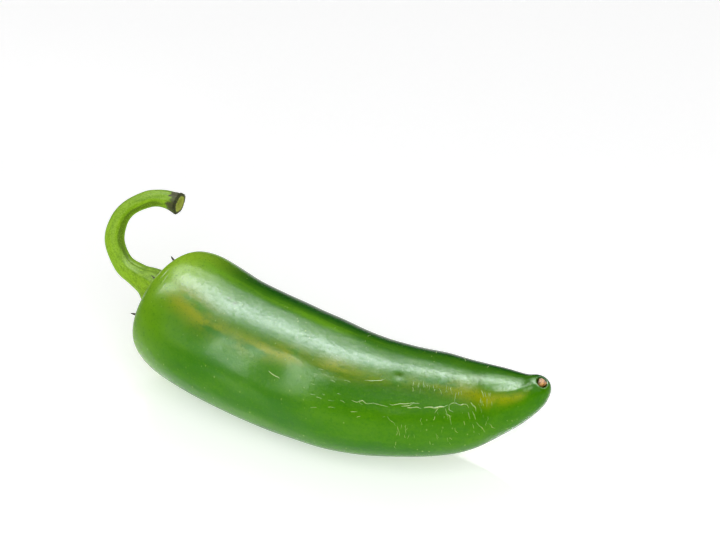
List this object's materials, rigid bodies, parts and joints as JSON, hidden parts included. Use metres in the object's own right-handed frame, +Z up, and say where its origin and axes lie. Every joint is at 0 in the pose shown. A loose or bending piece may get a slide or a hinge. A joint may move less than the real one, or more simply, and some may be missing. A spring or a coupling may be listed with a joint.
{
  "type": "chilli pepper",
  "caption": "Whole green chilli pepper as picked, a slightly bowed glossy pod with a ragged calyx and a curled stem, lying on its belly.",
  "frame": {"origin": "middle of the pepper's footprint, at the height of the surface that it lies on", "axes": "+X from the crown and stem to the tip, +Z up, +Y towards the side that the stem's end curls over"},
  "size_m": [0.103, 0.0376, 0.0327],
  "materials": {
    "pod_skin": "smooth waxy fruit skin, deep green with olive streaks, glossy",
    "calyx_green": "leathery dark green with a pale ragged rim and dry dark tips, satin",
    "stem_green": "ribbed yellow green stalk, brown at its cut end, satin",
    "style_cork": "dry tan cork, matt"
  },
  "bodies": {
    "root": {"pod": "pod_skin", "calyx": "calyx_green", "stem": "stem_green", "style_stub": "style_cork"}
  },
  "joints": []
}
